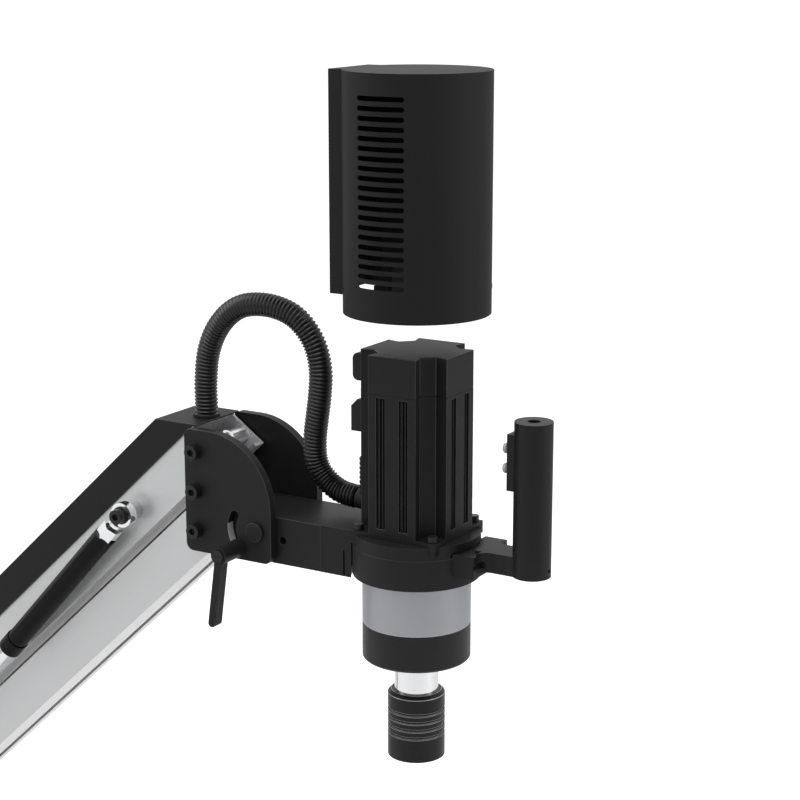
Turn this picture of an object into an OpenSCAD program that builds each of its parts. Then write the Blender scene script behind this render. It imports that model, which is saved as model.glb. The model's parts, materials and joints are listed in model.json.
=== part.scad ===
// Arm tapping machine: a motor head on a balanced parallelogram arm that swings on a column.
// Frame: origin at the lower mouth of the column bore, on its axis, +Z up. The arm points along +X.

/* [Arm] */
// Distance between the pivots at the two ends of each beam
arm_len = 460; // [400:1:560]
// Height of the upper pivot line over the lower one
pivot_gap = 69.4; // [69:0.1:74]
// Height of each beam
beam_h = 41; // [38:0.5:46]
// Width of each beam
beam_w = 58; // [50:1:58]
// Wall of each beam
beam_wall = 3; // [2:0.5:5]
// Length of the lower beam, and of the upper beam's low end, past their pivots
beam_over = 9; // [6:1:9]
// Width of the cable slot along each beam's underside
cable_slot_w = 12; // [8:0.5:14]
// Distance of the cable slot's middle from the arm's middle plane
cable_slot_y = 10.4; // [7:0.1:12]
// Shank radius of the pivot bolts
bolt_r = 4; // [3:0.5:5]
// Head radius of the pivot bolts
bolt_head_r = 6.4; // [6:0.1:8]
// Head height of the pivot bolts
bolt_head_h = 8; // [5:0.5:9]
// Outer radius of the bushes in the beams
bush_r = 8; // [7:0.5:10]
// Height of the cable cover over the upper beam
duct_h = 26.4; // [18:0.1:30]
// Sheet of the cable cover
duct_wall = 1.7; // [1:0.1:2.5]
// Depth that the cable cover laps down over the beam
duct_lap = 1.4; // [1:0.1:8]

/* [Column and yoke] */
// Radius of the column bore
column_r = 25; // [20:0.5:28]
// Wall of the column sleeve
sleeve_wall = 11; // [8:0.5:16]
// Height of the column sleeve
sleeve_h = 125; // [110:1:180]
// Depth of the column bore
column_depth = 75; // [50:1:76]
// Radius of the swing spindle
swing_r = 15; // [12:0.5:17]
// Wall of the swing bush
swing_bush_wall = 4; // [2:0.5:4]
// Thickness of the thrust washer
washer_t = 3; // [2:0.5:5]
// Thickness of the yoke's base
yoke_base_t = 14; // [10:1:20]
// Radius of the yoke's base
yoke_base_r = 40; // [40:1:50]
// Thickness of the yoke's cheeks
cheek_t = 8; // [6:0.5:12]
// Half the width of a cheek, and the radius of its top
cheek_r = 20; // [16:0.5:20]
// Distance of the arm's pivots from the swing axis
yoke_x = 22; // [15:1:30]

/* [Gas spring] */
// Radius of the cylinder
gas_r = 10; // [9:0.5:11]
// Radius of the rod
gas_rod_r = 5; // [4:0.5:6]
// Distance of the upper stud from the bracket's pivot, along the beam
gas_back = 99.5; // [80:0.5:120]
// Distance of the spring's axis from the yoke's cheek
gas_side = 8.4; // [8:0.1:20]
// Length of the cylinder
gas_cyl_len = 176; // [150:1:200]
// Radius of the spring's eyes
gas_eye_r = 11; // [9:0.5:12]
// Width of the spring's eyes
gas_eye_w = 8; // [6:0.5:12]

/* [Bracket] */
// Thickness of each plate
plate_t = 8.2; // [6:0.1:10]
// Clearance between each plate and the beams
plate_side = 2.8; // [2.8:0.1:7]
// Radius of the plates' round corner
plate_arc_r = 63; // [50:1:63]
// Radius of the plates' small corners
plate_corner_r = 7; // [3:0.5:8]
// Radius of the tilt pin
tilt_pin_r = 7; // [5:0.5:7.5]
// Radius of the curved slot's middle line
slot_r = 24; // [22:0.5:24]
// Largest tilt of the head, in degrees
tilt_max = 70; // [45:1:70]

/* [Tilt bar and lever] */
// Clearance between each plate and the tilt bar
tilt_side = 0.6; // [0.6:0.1:3.8]
// Radius of the tilt bar's round rear end
tilt_bar_r = 31; // [28:0.5:31]
// Radius of the lock stud
stud_r = 4; // [3:0.5:4]
// Radius of the lock lever's hub
hub_r = 7.7; // [6:0.1:9]
// Length of the lock lever from its stud
lever_len = 64.7; // [50:0.1:80]
// Width of the lock lever's arm
lever_w = 7; // [5:0.5:9]
// Thickness of the lock lever's arm
lever_t = 10; // [6:0.5:12]

/* [Motor] */
// Width of the square motor
motor_w = 80; // [76:1:80]
// Height of the finned motor body
motor_h = 115.8; // [100:0.1:140]
// Height of the motor's rear cover
rear_h = 31.7; // [24:0.1:40]
// Radius of the motor's inside
motor_bore_r = 30; // [26:0.5:31]
// Depth of the cooling slots
fin_depth = 3; // [2:0.5:4]
// Height of the motor flange
flange_h = 10.4; // [8:0.1:14]

/* [Gearbox] */
// Radius of the gearbox
gear_r = 45; // [42:0.5:45]
// Wall of the gearbox
gear_wall = 7; // [5:0.5:9]
// Height of the bare gearbox band
band_h = 40.8; // [30:0.1:60]
// Height of the base cap under the gearbox
base_h = 31.3; // [28:0.1:40]

/* [Spindle and chuck] */
// Radius of the bare spindle
spindle_r = 18.5; // [16:0.5:18.5]
// Length of spindle that shows under the base cap
spindle_len = 29; // [20:0.5:40]
// Radius of the chuck sleeve
chuck_r = 24; // [23:0.5:28]
// Length of the chuck sleeve
chuck_len = 58.2; // [56:0.1:70]
// Radius of the chuck's tool bore
tool_r = 9.5; // [6:0.5:12]
// Depth of the chuck's tool bore
tool_depth = 34; // [20:1:36]
// Travel of the chuck sleeve
chuck_travel = 6; // [3:0.5:7]

/* [Handle] */
// Outer radius of the two collars round the gearbox
collar_r = 53; // [51:0.5:53]
// Height of the turning collar
collar_h = 25.9; // [20:0.1:30]
// Distance of the grip from the spindle
grip_x = 106; // [100:1:125]
// Radius of the grip
grip_r = 15.5; // [13:0.5:17]
// Length of the grip
grip_len = 110; // [90:1:130]
// Radius of the hole in the grip's top
grip_hole_r = 5.2; // [3:0.1:6]
// Radius of the push buttons
button_r = 4.6; // [3.5:0.1:5]
// Travel of the push buttons
button_travel = 1.5; // [1:0.1:2]

/* [Motor cover] */
// Radius of the motor cover
cover_r = 59.5; // [59:0.5:64]
// Wall of the motor cover
cover_wall = 1.5; // [1:0.1:2]
// Height of the motor cover
cover_h = 191.5; // [185:0.5:210]
// Height at which the cover is held over its seat
cover_lift = 169; // [150:0.1:200]
// Number of slats in the cover
slats = 20; // [5:1:21]
// Height of each slat
slat_h = 4; // [3:0.1:5]
// Distance between slats
slat_pitch = 7.6; // [6.5:0.1:8]

/* [Conduit] */
// Outer radius of the ribbed conduit
hose_r = 10.2; // [9:0.1:10.4]
// Depth of the conduit's ribs
rib_depth = 1.4; // [1:0.1:2]
// Distance between the conduit's ribs
rib_pitch = 3.3; // [3:0.1:4]
// Wall of the conduit under its ribs
hose_wall = 1; // [0.6:0.1:1.5]

/* [Hidden] */
$fn = 64;
// Overrun of every cut past the face it opens
cut = 1;
// Radial clearance of shafts, screws and spigots in their holes
fit = 0.05;
// Clearance between parts that turn past each other
play = 0.2;
// Clearance between the beams and the cheeks or plates beside them
side_gap = 0.6;
// Angle of the arm above the horizontal as stored, at its upper stop
arm_angle = 42.7;
// Angle at which the lock stud stands round the tilt pin, from +X
stud_angle = 223;
// Largest gap of the curved slot to the stud on each side
slot_gap = 0.2;

// Turns a place along the beam and across it into [x, z]
function along(t, n) = [
    t * cos(arm_angle) - n * sin(arm_angle),
    t * sin(arm_angle) + n * cos(arm_angle)
];

// Heights of the column sleeve, the yoke and the arm's low pivots
yoke_z = sleeve_h + washer_t;
base_top = yoke_z + yoke_base_t;
lower_clear = 10.9;
// Height of each beam's middle over its pivots
beam_rise = 1.4;
beam_top = beam_rise + beam_h / 2;
low_pivot = [yoke_x, base_top + beam_h / 2 - beam_rise + lower_clear];
top_pivot = low_pivot + [0, pivot_gap];
cheek_in = beam_w / 2 + side_gap;
cheek_out = cheek_in + cheek_t;

// Pivots at the bracket end of the arm
bracket_top = top_pivot + along(arm_len, 0);
bracket_low = low_pivot + along(arm_len, 0);
bracket_mid = (bracket_top + bracket_low) / 2;
plate_gap = beam_w / 2 + plate_side;
plate_out = plate_gap + plate_t;
tilt_bar_y = plate_gap - tilt_side;

// The plates reach these distances past the upper bracket pivot
plate_left = 12;
plate_up = 19;
plate_right = 76;
plate_foot = 19.3;
plate_down = pivot_gap + plate_foot;
tilt_pin_out = 60.4;
tilt_pin_drop = 61.8;
tilt_pin_at = bracket_top + [tilt_pin_out, -tilt_pin_drop];
stud_at = tilt_pin_at + slot_r * [cos(stud_angle), sin(stud_angle)];

// The tilt bar reaches this far below and above its pin
bar_down = 27.5;
bar_up = 12.8;
bar_len = 59.6;
seam_x = tilt_pin_at[0] + bar_len;

// Place of the head: the lower edge of the gearbox band, on the spindle axis
holder_len = 74;
holder_lap = 3.6;
head_x = seam_x + holder_len;
head_z = tilt_pin_at[1] - bar_down - band_h + holder_lap;

// Levels in the head, from the lower edge of the gearbox band
collar_top = band_h + collar_h;
ring_low = collar_top + play;
ring_floor = 3.9;
flange_low = ring_low + ring_floor;
flange_top = flange_low + flange_h;
motor_top = flange_top + motor_h;
rear_top = motor_top + rear_h;
holder_low = tilt_pin_at[1] - bar_down - head_z;
holder_top = tilt_pin_at[1] + bar_up - head_z;
half_w = motor_w / 2;
flange_screw_in = 5.5;
flange_screw = half_w - flange_screw_in;
flange_screw_r = 2.5;
window_low = -28.7;
window_high = 84;
window_r = 48;
block_gap = 0.3;
block_r = window_r + block_gap;

// Gas spring: its upper stud on the beam and its lower stud on the yoke
gas_y = cheek_out + gas_side;
gas_top_rise = 2.7;
gas_low_out = 10.2;
gas_low_drop = 25.5;
gas_top = top_pivot + along(arm_len - gas_back, gas_top_rise);
gas_low = top_pivot + [gas_low_out, -gas_low_drop];
gas_run = gas_top - gas_low;
gas_len = norm(gas_run);
gas_angle = atan2(gas_run[1], gas_run[0]);
gas_neck = 31;
gas_stud_r = 5;
gas_low_stud_r = 4;
gas_low_bore_r = 5.8;
gas_cyl_wall = 2;
gas_cap_len = 17;
gas_cap_step = 0.9;
eye_in = gas_y - gas_eye_w / 2;
eye_out = gas_y + gas_eye_w / 2;

// Duct over the upper beam: its level top and its end
duct_rise = 20.5;
duct_end_in = 5;
duct_in = 0.3;
duct_start = 30;
duct_top_z = bracket_top[1] + duct_rise;
duct_end_x = bracket_top[0] - duct_end_in;
duct_y = beam_w / 2 + duct_in + duct_wall;

// Conduit: where it stands on the duct, and its route from the upper bracket pivot
gland_back = 17;
gland_at = [-gland_back, 0, duct_rise];
gland_h = 2.5;
gland_wall = 1.4;
route = [
    gland_at,
    [-17, 0, 35],
    [-17, 0, 50],
    [-14, 0, 75],
    [-6, 0, 95],
    [6.4, 0, 110.5],
    [21.5, 0, 120.4],
    [39, 0, 124],
    [57, 1, 123],
    [74, 2, 117],
    [87, 3, 105],
    [95, 4, 90],
    [98, 5, 72],
    [96.5, 6, 53],
    [93, 7, 32],
    [90, 8, 14.5],
    [89.5, 9, -2.6],
    [93.5, 10, -15],
    [102, 11, -24.7],
    [112, 11, -30.4],
    [122, 11, -32.4],
    [132, 11, -33.4]
];
route_end = len(route) - 1;
hose_dip = atan2(route[route_end - 1][2] - route[route_end][2], route[route_end][0] - route[route_end - 1][0]);
elbow_r = 9.3;
elbow_ribs = 7;

// Levels of the cover: on its seat the pod's lower edge lies just over the conduit
pod_x = 63.6;
pod_y = 30;
pod_raise = 13.7;
pod_gap = 0.7;
conduit_end = route[route_end][2] + bracket_top[1] - head_z;
cover_seat = conduit_end + hose_r + pod_gap - pod_raise;
cover_low = cover_seat + cover_lift;
cover_top = cover_low + cover_h;
pod_low = cover_low + pod_raise;

// Drawing helpers: a rod along Y, an outline in XZ given a width along Y, and a box between two corners
module rod_y(r, y0, y1) {
    translate([0, y0, 0]) rotate([-90, 0, 0]) cylinder(r = r, h = y1 - y0);
}

module rod_x(r, x0, x1) {
    translate([x0, 0, 0]) rotate([0, 90, 0]) cylinder(r = r, h = x1 - x0);
}

module slab_y(y0, y1) {
    translate([0, y1, 0]) rotate([90, 0, 0]) linear_extrude(y1 - y0) children();
}

module block(lo, hi) {
    translate(lo) cube(hi - lo);
}

module disc(r, z0, z1) {
    translate([0, 0, z0]) cylinder(r = r, h = z1 - z0);
}

module tube(r_in, r_out, z0, z1) {
    difference() {
        disc(r_out, z0, z1);
        disc(r_in, z0 - cut, z1 + cut);
    }
}

// Puts what follows at [x, z]
module at(p) {
    translate([p[0], 0, p[1]]) children();
}

// Puts what follows at [x, z] with its X along the arm
module on_beam(p) {
    at(p) rotate([0, -arm_angle, 0]) children();
}

module head() {
    translate([head_x, 0, head_z]) children();
}

// Waste outside a corner of radius r at point p, which lies towards dir from it
module corner_waste(p, r, dir) {
    c = p + r * dir;
    q = p - cut * dir;
    difference() {
        translate([min(c[0], q[0]), min(c[1], q[1])]) square(r + cut);
        translate(c) circle(r);
    }
}

// A piece of pie of radius r from angle a0 to a1
module wedge(r, a0, a1) {
    steps = 6;
    polygon([[0, 0], for (i = [0:steps]) r * [cos(a0 + (a1 - a0) * i / steps), sin(a0 + (a1 - a0) * i / steps)]]);
}

// A cap screw along +Y with its head's seat at y = 0 and a hexagon socket in its head
module cap_screw(r, len, head_r, head_h) {
    socket_r = head_r * socket_share;
    difference() {
        union() {
            rod_y(r, 0, len);
            rod_y(head_r, -head_h, 0);
        }
        translate([0, -head_h - cut, 0]) rotate([-90, 0, 0]) cylinder(r = socket_r, h = head_h / 2 + cut, $fn = 6);
    }
}
socket_share = 0.5;

// Column sleeve: the split clamp at the root of the machine
sleeve_r = column_r + sleeve_wall;
bush_out = swing_r + swing_bush_wall;
bush_floor = 5;
swing_floor = 9;
swing_low = column_depth + swing_floor;
slit_w = 4;
slit_short = 5;
slit_top = column_depth - slit_short;
ear_len = 22;
ear_x = sleeve_r + ear_len;
ear_y = 14;
ear_low = 6;
ear_top = slit_top - ear_low;
clamp_out = 12;
clamp_x = sleeve_r + clamp_out;
clamp_r = 4;
clamp_head_r = 6.5;
clamp_head_h = 8;
clamp_in = 13;
clamp_at = [ear_low + clamp_in, ear_top - clamp_in];

module column_sleeve() {
    color("#2b2b2d") difference() {
        union() {
            disc(sleeve_r, 0, sleeve_h);
            block([-ear_x, -ear_y, ear_low], [-column_r, ear_y, ear_top]);
        }
        disc(column_r, -cut, column_depth);
        disc(bush_out + fit, column_depth + bush_floor, sleeve_h + cut);
        block([-ear_x - cut, -slit_w / 2, -cut], [0, slit_w / 2, slit_top]);
        for (z = clamp_at) translate([-clamp_x, 0, z]) rod_y(clamp_r + fit, -ear_y - cut, ear_y + cut);
    }
}

module clamp_screws() {
    color("#161616") for (z = clamp_at) translate([-clamp_x, -ear_y, z])
        cap_screw(clamp_r, 2 * ear_y, clamp_head_r, clamp_head_h);
}

module swing_bush() {
    color("#b08d4a") tube(swing_r + fit, bush_out, swing_low, sleeve_h);
}

module thrust_washer() {
    color("#c9c9cb") tube(swing_r + fit, sleeve_r - play, sleeve_h, yoke_z);
}

// Yoke: base, spindle and the two cheeks that carry the beams
module cheek_outline() {
    translate([yoke_x - cheek_r, yoke_z]) square([2 * cheek_r, top_pivot[1] - yoke_z]);
    translate(top_pivot) circle(cheek_r);
}

module swivel_yoke() {
    color("#2b2b2d") difference() {
        union() {
            disc(yoke_base_r, yoke_z, base_top);
            block([yoke_x - cheek_r, -cheek_out, yoke_z], [yoke_x + cheek_r, cheek_out, base_top]);
            slab_y(-cheek_out, -cheek_in) cheek_outline();
            slab_y(cheek_in, cheek_out) cheek_outline();
        }
        disc(swing_r + fit, yoke_z - cut, base_top + cut);
        for (p = [top_pivot, low_pivot]) at(p) rod_y(bolt_r + fit, -cheek_out - cut, cheek_out + cut);
        at(gas_low) rod_y(gas_low_stud_r + fit, -cheek_out - cut, 0);
    }
}

module swing_spindle() {
    color("#c9c9cb") disc(swing_r, swing_low, base_top);
}

module yoke_bolts() {
    color("#161616") for (p = [top_pivot, low_pivot]) at(p) translate([0, -cheek_out, 0])
        cap_screw(bolt_r, 2 * cheek_out, bolt_head_r, bolt_head_h);
}

collar_gap = 0.4;
collar_wide = 2.5;
stud_washer_t = 1;
stud_washer_wide = 3;
stud_head_h = 7;
stud_head_wide = 1.5;

// A stud for one of the spring's eyes, from its seat inwards, with a collar behind the eye and a head before it
module gas_stud(r, bore_r, inner, seat) {
    washer_out = -eye_out - collar_gap - stud_washer_t;
    rod_y(r, washer_out, inner);
    rod_y(bore_r + collar_wide, -eye_in + collar_gap, seat);
    rod_y(bore_r + stud_washer_wide, washer_out, -eye_out - collar_gap);
    translate([0, washer_out, 0]) cap_screw(r, stud_washer_t, bore_r + stud_head_wide, stud_head_h);
}

module gas_lower_stud() {
    color("#8d8f92") at(gas_low) gas_stud(gas_low_stud_r, gas_low_bore_r, -cheek_in, -cheek_out);
}

// Beam section: a box with a web, a screw port and a cable slot in its underside
web_t = 2.5;
port_r = 5;
port_hole_r = 2.6;

module beam_outline() {
    inner_w = beam_w - 2 * beam_wall;
    inner_h = beam_h - 2 * beam_wall;
    difference() {
        union() {
            difference() {
                square([beam_w, beam_h], center = true);
                square([inner_w, inner_h], center = true);
            }
            square([inner_w + beam_wall, web_t], center = true);
            circle(port_r);
        }
        circle(port_hole_r);
        translate([cable_slot_y - cable_slot_w / 2, -beam_h / 2 - cut]) square([cable_slot_w, beam_wall + 2 * cut]);
    }
}

// A beam from start to end along the local X, with its bushes' seats at 0 and arm_len
module beam_solid(start, end) {
    difference() {
        translate([start, 0, beam_rise]) rotate([90, 0, 90]) linear_extrude(end - start) beam_outline();
        for (t = [0, arm_len]) translate([t, 0, 0]) rod_y(bush_r + fit, -beam_w / 2 - cut, beam_w / 2 + cut);
    }
}

// The upper beam's end is round about its pivot, cut off on the slant above it and level under the cable cover
end_r = 26.5;
end_slope = 35;
end_rise = 17.3;
end_back = 9;
end_top = duct_top_z - duct_wall - duct_in;
notch_r = 7.5;
notch_steps = 3;
notch_turn = 24;

module upper_beam() {
    rest_dir = -90 - arm_angle;
    color("#c4c6c8") difference() {
        on_beam(top_pivot) intersection() {
            beam_solid(-beam_over, arm_len + end_r);
            union() {
                block([-beam_over - cut, -beam_w, -beam_h], [arm_len, beam_w, beam_h]);
                translate([arm_len, 0, 0]) rod_y(end_r, -beam_w, beam_w);
            }
        }
        at(bracket_top + [-end_back, end_rise]) rotate([0, end_slope, 0])
            block([-arm_len, -beam_w, 0], [beam_h * 2, beam_w, beam_h]);
        block([bracket_top[0] - 2 * beam_h, -beam_w, end_top], [bracket_top[0] + beam_h, beam_w, end_top + beam_h]);
        on_beam(bracket_top) for (i = [0:notch_steps]) rotate([0, -rest_dir - notch_turn * i / notch_steps, 0])
            translate([pivot_gap / 2, 0, 0]) rod_y(notch_r, -beam_w, beam_w);
        at(gas_top) rod_y(gas_stud_r + fit, -beam_w / 2 - cut, 0);
    }
}

bush_end = beam_w / 2 + side_gap / 2;

module beam_bushes(p) {
    for (t = [0, arm_len]) on_beam(p) translate([t, 0, 0]) difference() {
        rod_y(bush_r, -bush_end, bush_end);
        rod_y(bolt_r + fit, -bush_end - cut, bush_end + cut);
    }
}

module upper_bushes() {
    color("#b08d4a") beam_bushes(top_pivot);
}

module lower_beam() {
    color("#c4c6c8") on_beam(low_pivot) beam_solid(-beam_over, arm_len + beam_over);
}

module lower_bushes() {
    color("#b08d4a") beam_bushes(low_pivot);
}

// Outline of the duct, its top and end drawn in by t
module duct_outline(t, drop) {
    n_top = beam_top + duct_h - t;
    n_low = beam_top - duct_lap - drop;
    z_top = duct_top_z - t;
    t_top = (z_top - top_pivot[1] - n_top * cos(arm_angle)) / sin(arm_angle);
    x_end = duct_end_x + drop;
    polygon([
        top_pivot + along(duct_start + t, n_low),
        top_pivot + along(duct_start + t, n_top),
        top_pivot + along(t_top, n_top),
        [x_end, z_top],
        [x_end, z_top - duct_wall],
        top_pivot + along((z_top - duct_wall - top_pivot[1] - n_low * cos(arm_angle)) / sin(arm_angle), n_low)
    ]);
}

module beam_cover() {
    color("#232324") difference() {
        slab_y(-duct_y, duct_y) duct_outline(0, 0);
        slab_y(-beam_w / 2 - duct_in, beam_w / 2 + duct_in) duct_outline(duct_wall, cut);
        on_beam(top_pivot) block([duct_start - cut, -beam_w / 2 - duct_in, 0],
                                 [duct_start + 2 * duct_wall, beam_w / 2 + duct_in, beam_top + fit]);
        translate([bracket_top[0], 0, bracket_top[1]] + gland_at) disc(hose_r - rib_depth - hose_wall, -beam_h, cut);
    }
}

module gas_upper_stud() {
    color("#8d8f92") at(gas_top) gas_stud(gas_stud_r, gas_stud_r, -beam_w / 2 + beam_wall, -beam_w / 2);
}

// Gas spring: local X runs from the lower stud to the upper one
module on_gas() {
    translate([gas_low[0], -gas_y, gas_low[1]]) rotate([0, -gas_angle, 0]) children();
}

gas_cyl_high = gas_len - gas_neck;
gas_cyl_low = gas_cyl_high - gas_cyl_len;
gas_in_r = gas_r - gas_cyl_wall;
gas_floor = 5;
eye_shoulder_r = 6.5;
eye_shoulder_len = 3.5;
eye_stem_in = 3;
nut_at = 17.5;
nut_r = 9.4;

// An eye of the spring with its shoulder, stem and nut along +X
module gas_eye(bore_r) {
    color("#d2d4d6") difference() {
        union() {
            rod_y(gas_eye_r, -gas_eye_w / 2, gas_eye_w / 2);
            rod_x(eye_shoulder_r, gas_eye_r, gas_eye_r + eye_shoulder_len);
            rod_x(gas_eye_w / 2, gas_eye_r - eye_stem_in, gas_neck);
            translate([nut_at, 0, 0]) rotate([30, 0, 0]) rotate([0, 90, 0]) cylinder(r = nut_r, h = gas_neck - nut_at, $fn = 6);
        }
        rod_y(bore_r, -gas_eye_w, gas_eye_w);
    }
}

module gas_cylinder() {
    color("#1b1b1c") on_gas() difference() {
        rod_x(gas_r, gas_cyl_low + gas_cap_len, gas_cyl_high);
        rod_x(gas_in_r, gas_cyl_low + gas_cap_len - cut, gas_cyl_high - gas_floor);
    }
}

module gas_cylinder_cap() {
    round_r = gas_cap_len / 8;
    cap_r = gas_r + gas_cap_step;
    color("#2a2a2b") on_gas() difference() {
        union() {
            rod_x(cap_r, gas_cyl_low + round_r, gas_cyl_low + gas_cap_len);
            translate([gas_cyl_low, 0, 0]) rotate([0, 90, 0]) cylinder(r1 = cap_r - round_r, r2 = cap_r, h = round_r);
        }
        rod_x(gas_rod_r + fit, gas_cyl_low - cut, gas_cyl_low + gas_cap_len + cut);
    }
}

module gas_cylinder_eye() {
    on_gas() translate([gas_len, 0, 0]) rotate([0, 180, 0]) gas_eye(gas_stud_r + fit);
}

piston_len = 10;
piston_back = 42;
piston_at = gas_cyl_high - gas_floor - piston_back;

module gas_rod() {
    color("#e0e2e4") on_gas() {
        rod_x(gas_rod_r, gas_neck, piston_at);
        rod_x(gas_in_r - fit, piston_at, piston_at + piston_len);
    }
}

module gas_rod_eye() {
    on_gas() gas_eye(gas_low_bore_r);
}

// Bracket: two plates on three bolts, with the tilt pin and the curved slot
module plate_outline() {
    left = bracket_top[0] - plate_left;
    right = bracket_top[0] + plate_right;
    low = bracket_top[1] - plate_down;
    high = bracket_top[1] + plate_up;
    difference() {
        translate([left, low]) square([right - left, high - low]);
        corner_waste([left, low], plate_corner_r, [1, 1]);
        corner_waste([left, high], plate_corner_r, [1, -1]);
        corner_waste([right, low], plate_corner_r, [-1, 1]);
        corner_waste([right, high], plate_arc_r, [-1, -1]);
        for (p = [bracket_top, bracket_mid, bracket_low]) translate(p) circle(bolt_r + fit);
        translate(tilt_pin_at) circle(tilt_pin_r + fit);
    }
}

module curved_slot() {
    half = stud_r + slot_gap;
    last = stud_angle - tilt_max;
    translate(tilt_pin_at) {
        intersection() {
            difference() {
                circle(slot_r + half);
                circle(slot_r - half);
            }
            wedge(2 * slot_r, last - slot_spare, stud_angle);
        }
        for (a = [last - slot_spare, stud_angle]) translate(slot_r * [cos(a), sin(a)]) circle(half);
    }
}
slot_spare = 1;

module near_plate() {
    color("#29292a") slab_y(-plate_out, -plate_gap) difference() {
        plate_outline();
        curved_slot();
    }
}

module far_plate() {
    color("#29292a") slab_y(plate_gap, plate_out) plate_outline();
}

module plate_bolts() {
    color("#161616") for (p = [bracket_top, bracket_mid, bracket_low]) at(p) translate([0, -plate_out, 0])
        cap_screw(bolt_r, 2 * plate_out, bolt_head_r, bolt_head_h);
}

spacer_wall = 2;

module spacer_tube() {
    color("#8d8f92") at(bracket_mid) difference() {
        rod_y(bolt_r + spacer_wall, -plate_gap, plate_gap);
        rod_y(bolt_r + fit, -plate_gap - cut, plate_gap + cut);
    }
}

pin_head_lap = 1.3;
pin_head_r = tilt_pin_r + pin_head_lap;
pin_head_h = 3;

module tilt_pin() {
    color("#2e2e30") at(tilt_pin_at) {
        rod_y(tilt_pin_r, -plate_out, plate_out);
        rod_y(pin_head_r, -plate_out - pin_head_h, -plate_out);
    }
}

// Tilt bar: turns on the tilt pin and carries the head holder at its seam
side_hole_r = 3.5;
side_hole_depth = 10;
side_hole_at = [21.6, -6.7];
seam_screw_r = 4;
seam_screw_len = 34;
seam_screw_y = 16;
seam_screw_z = tilt_pin_at[1] - bar_down + (bar_down + bar_up) / 2;
stud_depth = 24;

module tilt_bar() {
    color("#2b2b2d") difference() {
        at(tilt_pin_at) slab_y(-tilt_bar_y, tilt_bar_y) intersection() {
            translate([-tilt_bar_r, -bar_down]) square([tilt_bar_r + bar_len, bar_down + bar_up]);
            union() {
                circle(tilt_bar_r);
                translate([0, -bar_down]) square([bar_len, bar_down + bar_up]);
            }
        }
        at(tilt_pin_at) rod_y(tilt_pin_r + fit, -tilt_bar_y - cut, tilt_bar_y + cut);
        at(stud_at) rod_y(stud_r + fit, -tilt_bar_y - cut, -tilt_bar_y + stud_depth);
        at(tilt_pin_at + side_hole_at) rod_y(side_hole_r, -tilt_bar_y - cut, -tilt_bar_y + side_hole_depth);
        for (s = [-1, 1]) translate([0, s * seam_screw_y, seam_screw_z])
            rod_x(seam_screw_r + fit, seam_x - seam_screw_len / 2 - cut, seam_x + cut);
    }
}

hub_gap = 0.4;
hub_reach = 29;
stud_short = 3;
hub_in = plate_out + hub_gap;
hub_out = plate_out + hub_reach;
stud_out = hub_out - stud_short;
lever_lean = 8;
tip_r = lever_w / 2;

module lever_stud() {
    color("#8d8f92") at(stud_at) rod_y(stud_r, -stud_out, -tilt_bar_y + stud_depth);
}

module lock_lever() {
    color("#242425") at(stud_at) difference() {
        union() {
            rod_y(hub_r, -hub_out, -hub_in);
            rotate([0, lever_lean, 0]) {
                block([-tip_r, -hub_out, -lever_len + tip_r], [tip_r, -hub_out + lever_t, 0]);
                translate([0, 0, -lever_len + tip_r]) rod_y(tip_r, -hub_out, -hub_out + lever_t);
            }
        }
        rod_y(stud_r + fit, -hub_out - cut, -hub_in + cut);
    }
}

lever_head_r = 5.2;
lever_head_h = 1.6;
lever_slot_w = 1.2;

module lever_screw() {
    color("#3a3a3c") at(stud_at) difference() {
        union() {
            rod_y(lever_head_r, -hub_out - lever_head_h, -hub_out);
            rod_y(stud_r, -hub_out, -stud_out - play);
        }
        block([-lever_head_r, -hub_out - lever_head_h - cut, -lever_slot_w / 2],
              [lever_head_r, -hub_out - lever_head_h / 2, lever_slot_w / 2]);
    }
}

// Head holder: the block behind the gearbox and the fixed collar under the motor flange
recess_gap = 1;
recess_r = collar_r + recess_gap;
pocket_gap = 0.3;
block_lap = 10;
holder_slot_x = -52;
holder_slot_w = 1.5;
holder_slot_depth = 6;
holder_slot_rise = 1;
holder_slot_h = 21;

module flange_screw_places() {
    for (s = [[-1, -1], [1, -1], [-1, 1]]) translate([s[0] * flange_screw, s[1] * flange_screw, 0]) children();
}

module head_holder() {
    pocket = half_w + pocket_gap;
    slot_low = holder_low + holder_slot_rise;
    color("#2b2b2d") head() difference() {
        union() {
            block([-holder_len, -tilt_bar_y, holder_low], [-gear_r + block_lap, tilt_bar_y, holder_top]);
            disc(collar_r, ring_low, holder_top);
        }
        disc(recess_r, holder_low - cut, ring_low);
        disc(gear_r + fit, ring_low - cut, flange_low + cut);
        block([-pocket, -pocket, flange_low], [pocket, pocket, holder_top + cut]);
        translate([0, 0, ring_low - cut]) linear_extrude(flange_low - ring_low + cut + play) difference() {
            wedge(2 * collar_r, window_low, window_high);
            circle(window_r);
        }
        translate([holder_slot_x, 0, 0])
            block([0, -tilt_bar_y - cut, slot_low], [holder_slot_w, -tilt_bar_y + holder_slot_depth, slot_low + holder_slot_h]);
        for (s = [-1, 1]) translate([0, s * seam_screw_y, seam_screw_z - head_z]) {
            rod_x(seam_screw_r + fit, -holder_len - cut, 0);
            rod_x(seam_head_r + fit, -holder_len + seam_screw_len / 2, 0);
        }
        flange_screw_places() disc(flange_screw_r + fit, ring_low - cut, flange_low + cut);
    }
}
seam_head_r = 6.5;
seam_head_h = 3;

module seam_screws() {
    color("#161616") for (s = [-1, 1]) translate([seam_x, s * seam_screw_y, seam_screw_z]) {
        rod_x(seam_screw_r, -seam_screw_len / 2, seam_screw_len / 2);
        rod_x(seam_head_r, seam_screw_len / 2, seam_screw_len / 2 + seam_head_h);
    }
}

// Motor
shaft_hole_r = 12;
corner_in = 19;
corner_deep = 28.5;
corner_flat = 22;

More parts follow.
